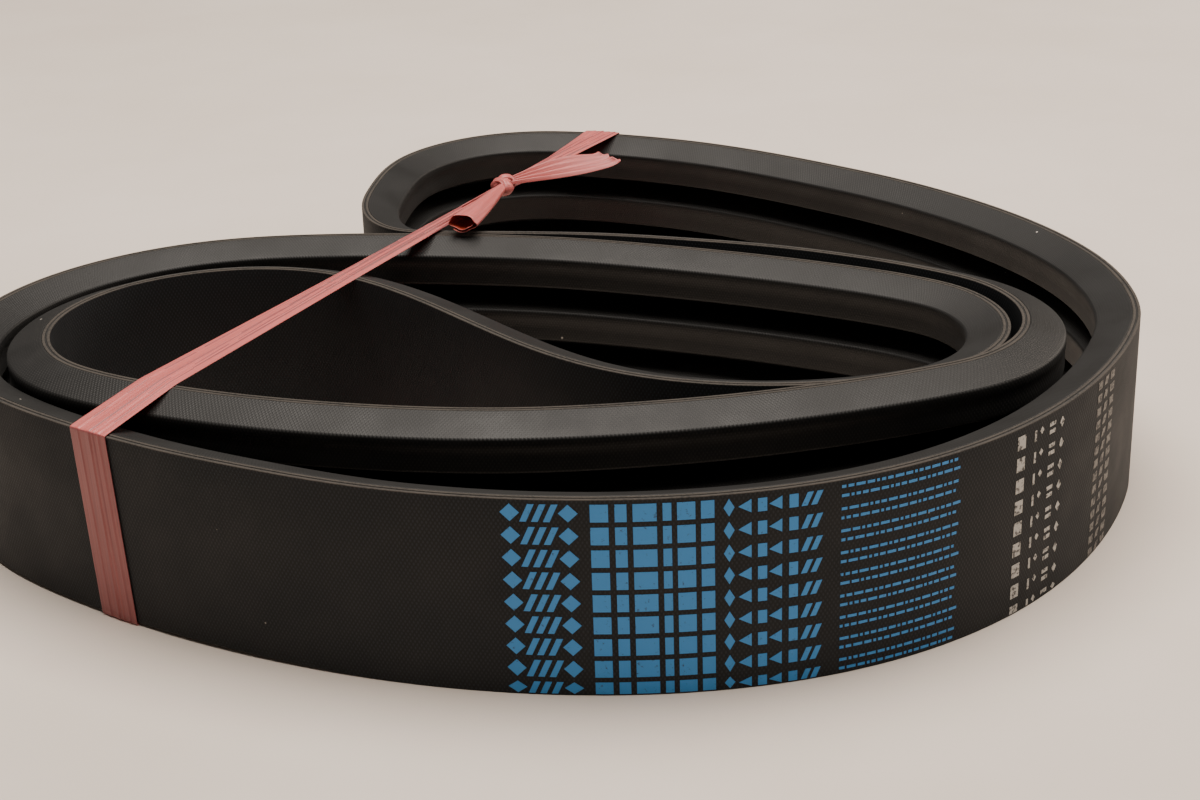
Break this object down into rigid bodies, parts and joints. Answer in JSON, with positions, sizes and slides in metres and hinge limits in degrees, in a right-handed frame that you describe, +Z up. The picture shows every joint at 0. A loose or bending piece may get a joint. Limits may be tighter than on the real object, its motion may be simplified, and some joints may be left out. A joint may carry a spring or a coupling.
{
  "type": "v belt",
  "caption": "Banded V-belt with wrapped V ribs on a woven tie band, coiled on its edge in nested loops and tied with a knotted film ribbon.",
  "frame": {"origin": "on the floor under the middle of the coil", "axes": "+Z up from the floor, across the belt's width; +X to the right along the coil's longer side; +Y from the front run towards the far fold"},
  "size_m": [0.3668, 0.3544, 0.0619],
  "materials": {
    "band_fabric": "rubberised bias-woven fabric, matte",
    "skim_rubber": "calendered rubber",
    "rib_cover": "wrapped rubberised fabric, soft sheen",
    "adhesion_gum": "soft black gum",
    "tensile_cord": "dipped polyester cord",
    "core_rubber": "fibre-loaded rubber",
    "film_ribbon": "pleated polyethylene film, satin"
  },
  "bodies": {
    "coil": {"tie_band_outer_ply": "band_fabric", "tie_band_skim_rubber": "skim_rubber", "tie_band_inner_ply": "band_fabric", "rib_1_cover_jacket": "rib_cover", "rib_1_adhesion_gum": "adhesion_gum", "rib_1_tensile_cords": "tensile_cord", "rib_1_compression_core": "core_rubber", "rib_2_cover_jacket": "rib_cover", "rib_2_adhesion_gum": "adhesion_gum", "rib_2_tensile_cords": "tensile_cord", "rib_2_compression_core": "core_rubber", "rib_3_cover_jacket": "rib_cover", "rib_3_adhesion_gum": "adhesion_gum", "rib_3_tensile_cords": "tensile_cord", "rib_3_compression_core": "core_rubber", "ribbon_strand": "film_ribbon", "ribbon_knot": "film_ribbon"},
    "near_tail": {"ribbon_tail_near": "film_ribbon"},
    "far_tail": {"ribbon_tail_far": "film_ribbon"}
  },
  "joints": [
    {"name": "near_tail_bend", "type": "hinge", "parent": "coil", "child": "near_tail", "pos_m": [-0.01921, 0.08481, 0.05932], "axis": [-0.9703, 0.2419, 0], "range_deg": [0, 75]},
    {"name": "far_tail_bend", "type": "hinge", "parent": "coil", "child": "far_tail", "pos_m": [-0.01264, 0.09307, 0.05927], "axis": [0.454, -0.891, 0], "range_deg": [0, 60]}
  ]
}
